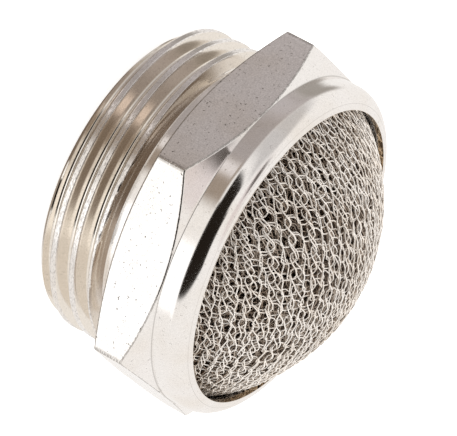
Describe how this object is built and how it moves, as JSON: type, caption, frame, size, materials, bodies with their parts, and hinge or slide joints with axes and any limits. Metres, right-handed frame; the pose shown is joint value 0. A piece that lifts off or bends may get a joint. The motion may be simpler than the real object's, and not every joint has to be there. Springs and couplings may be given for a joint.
{
  "type": "pneumatic muffler",
  "caption": "Flat screw-in exhaust silencer: short threaded body with a hexagon and a rolled rim that holds a domed pad of knitted wire.",
  "frame": {"origin": "centre of the threaded end face", "axes": "+Z along the body's axis from the threaded inlet to the dome; two corners of the hexagon lie on Y, two of its flats face +X and -X"},
  "size_m": [0.036, 0.0416, 0.0261],
  "materials": {
    "nickel_plated_brass": "bright nickel plating over turned brass",
    "stainless_wire": "knitted stainless steel wire"
  },
  "bodies": {
    "root": {"body": "nickel_plated_brass", "outer_knit_ply": "stainless_wire", "second_knit_ply": "stainless_wire", "third_knit_ply": "stainless_wire", "knit_core": "stainless_wire", "back_knit_ply": "stainless_wire"}
  },
  "joints": []
}
